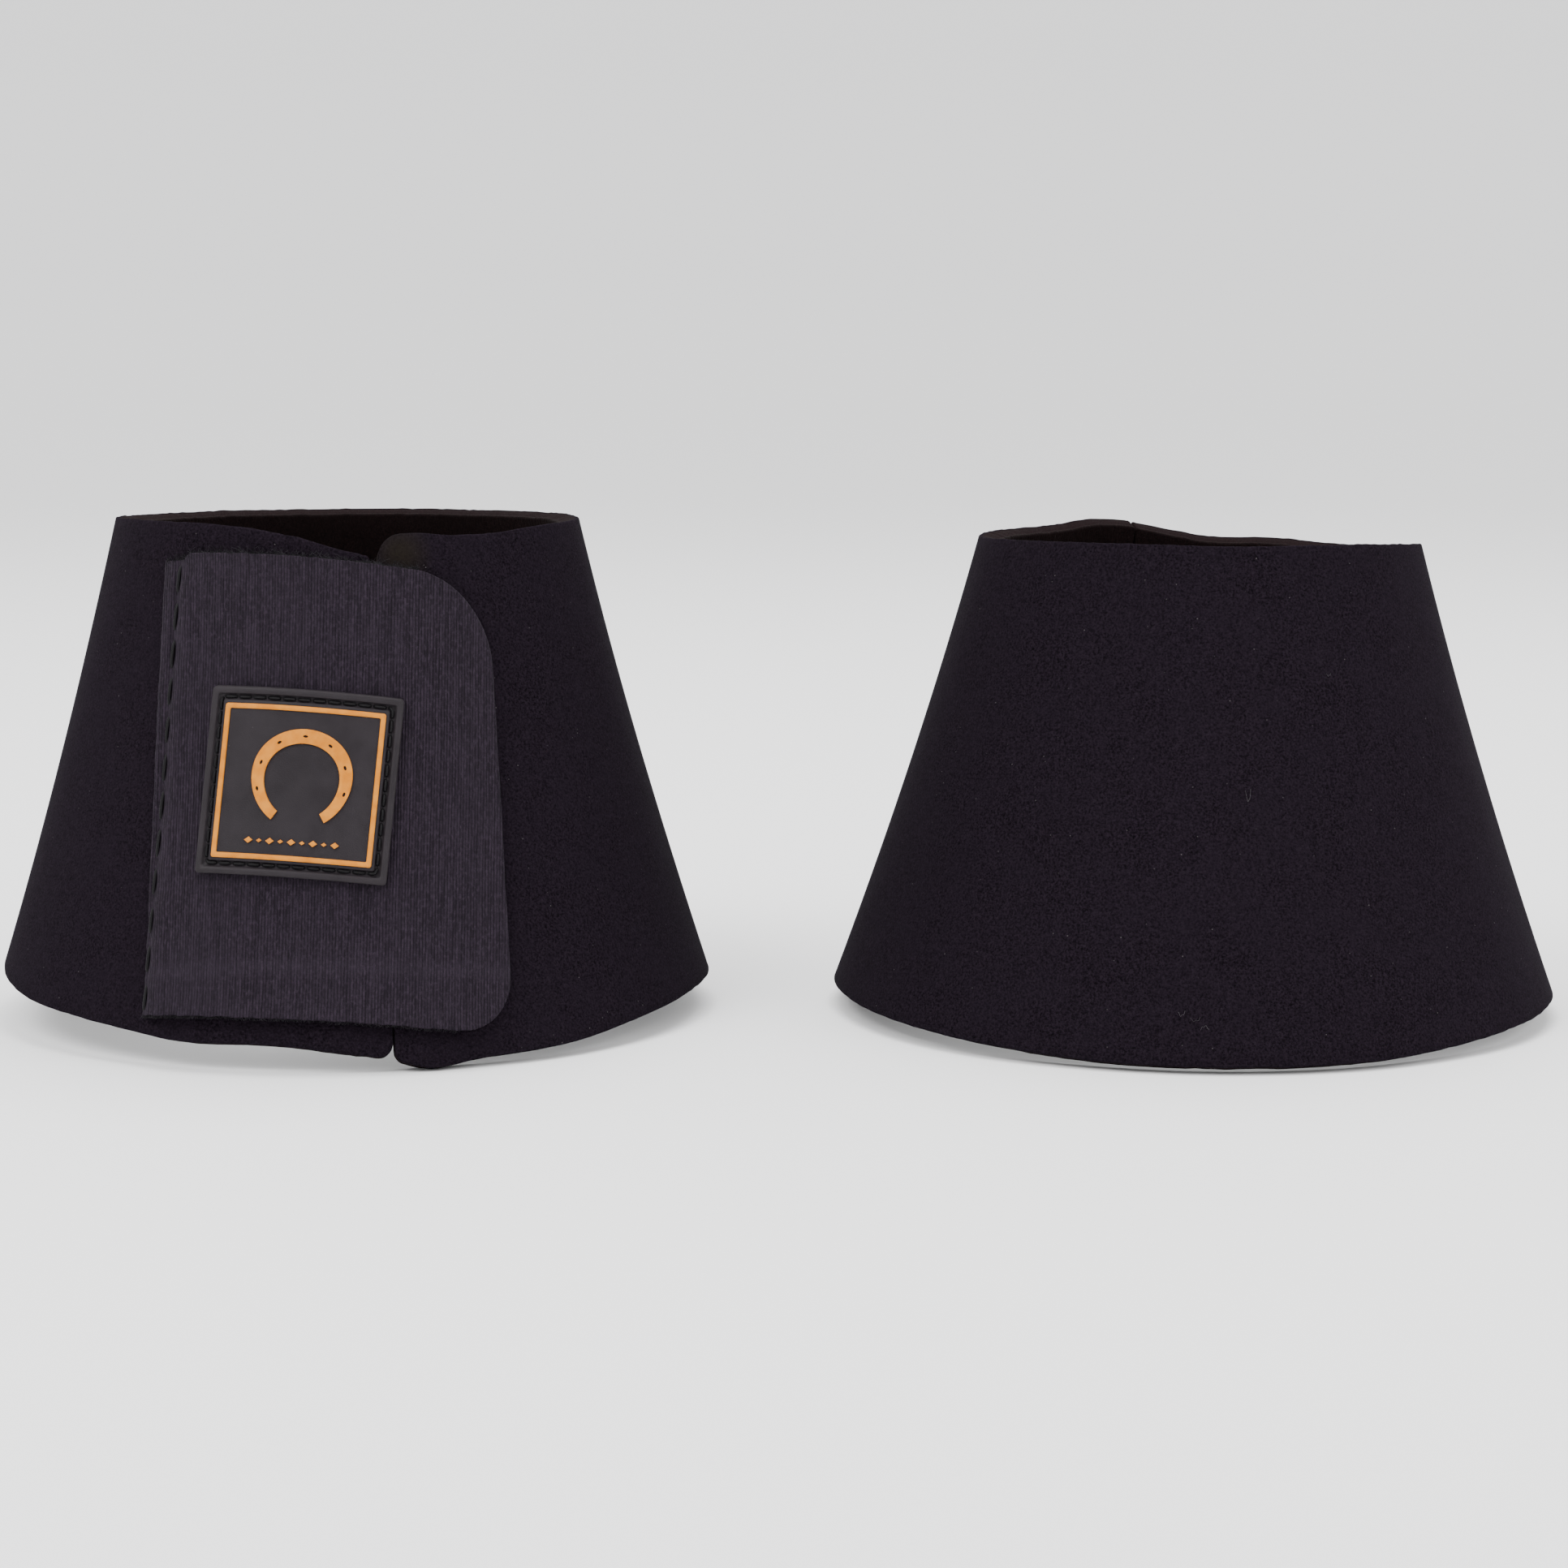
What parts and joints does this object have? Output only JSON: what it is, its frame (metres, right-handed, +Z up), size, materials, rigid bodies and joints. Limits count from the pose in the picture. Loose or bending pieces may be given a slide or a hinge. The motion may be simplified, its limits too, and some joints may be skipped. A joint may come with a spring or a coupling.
{
  "type": "bell boots",
  "caption": "Flared neoprene overreach boots for a horse's hooves, a matched pair, each closed in front by a wide sewn-on hook strap with a square rubber badge.",
  "frame": {"origin": "on the ground, midway between the two boots: the bottom centre of the pair's box", "axes": "+Z up; +X from the boot whose closure faces -Y to the boot that is turned half a turn, whose closure faces +Y"},
  "size_m": [0.36, 0.1603, 0.114],
  "materials": {
    "foam": "matte",
    "outer_jersey": "matte",
    "lining": "matte",
    "strap_tape": "matte",
    "hook": "matte",
    "badge_rubber": "satin",
    "badge_orange": "satin",
    "thread": "satin"
  },
  "bodies": {
    "left_back": {"left_back_jersey": "outer_jersey", "left_back_foam": "foam", "left_back_lining": "lining"},
    "left_strap_wing": {"left_strap_wing_jersey": "outer_jersey", "left_strap_wing_foam": "foam", "left_strap_wing_lining": "lining", "left_strap_sewn_edge": "strap_tape", "left_strap_seam_thread": "thread", "left_strap_bobbin_thread": "thread"},
    "left_loop_wing": {"left_loop_wing_jersey": "outer_jersey", "left_loop_wing_foam": "foam", "left_loop_wing_lining": "lining"},
    "left_strap": {"left_strap_flap": "strap_tape", "left_strap_hook_field": "hook", "left_badge_base": "badge_rubber", "left_badge_frame": "badge_orange", "left_badge_horseshoe": "badge_orange", "left_badge_rule": "badge_orange", "left_badge_stitching": "thread"},
    "right_back": {"right_back_jersey": "outer_jersey", "right_back_foam": "foam", "right_back_lining": "lining"},
    "right_strap_wing": {"right_strap_wing_jersey": "outer_jersey", "right_strap_wing_foam": "foam", "right_strap_wing_lining": "lining", "right_strap_sewn_edge": "strap_tape", "right_strap_seam_thread": "thread", "right_strap_bobbin_thread": "thread"},
    "right_loop_wing": {"right_loop_wing_jersey": "outer_jersey", "right_loop_wing_foam": "foam", "right_loop_wing_lining": "lining"},
    "right_strap": {"right_strap_flap": "strap_tape", "right_strap_hook_field": "hook", "right_badge_base": "badge_rubber", "right_badge_frame": "badge_orange", "right_badge_horseshoe": "badge_orange", "right_badge_rule": "badge_orange", "right_badge_stitching": "thread"}
  },
  "joints": [
    {"name": "left_strap_wing_flex", "type": "hinge", "parent": "left_back", "child": "left_strap_wing", "pos_m": [-0.17896, 0, 0.0134], "axis": [-0.2655, 0, -0.9641], "range_deg": [0, 45]},
    {"name": "left_loop_wing_flex", "type": "hinge", "parent": "left_back", "child": "left_loop_wing", "pos_m": [-0.01544, 0, 0.0074], "axis": [-0.2676, 0, 0.9635], "range_deg": [0, 45]},
    {"name": "left_strap_peel", "type": "hinge", "parent": "left_strap_wing", "child": "left_strap", "pos_m": [-0.13428, -0.07105, 0.0112], "axis": [-0.0531, -0.2674, -0.9621], "range_deg": [0, 140]},
    {"name": "right_boot_lift", "type": "slide", "parent": "left_back", "child": "right_back", "axis": [0, 0, 1], "range_m": [0, 0.13]},
    {"name": "right_strap_wing_flex", "type": "hinge", "parent": "right_back", "child": "right_strap_wing", "pos_m": [0.18184, 0, 0.0039], "axis": [0.3025, 0, -0.9532], "range_deg": [0, 45]},
    {"name": "right_loop_wing_flex", "type": "hinge", "parent": "right_back", "child": "right_loop_wing", "pos_m": [0.01366, 0, 0.005], "axis": [0.3021, 0, 0.9533], "range_deg": [0, 45]},
    {"name": "right_strap_peel", "type": "hinge", "parent": "right_strap_wing", "child": "right_strap", "pos_m": [0.1337, 0.07203, 0.00911], "axis": [0.0539, 0.3036, -0.9513], "range_deg": [0, 140]}
  ],
  "couplings": [
    {"joint": "left_loop_wing_flex", "follows": "left_strap_wing_flex", "ratio": 1},
    {"joint": "right_loop_wing_flex", "follows": "right_strap_wing_flex", "ratio": 1}
  ]
}
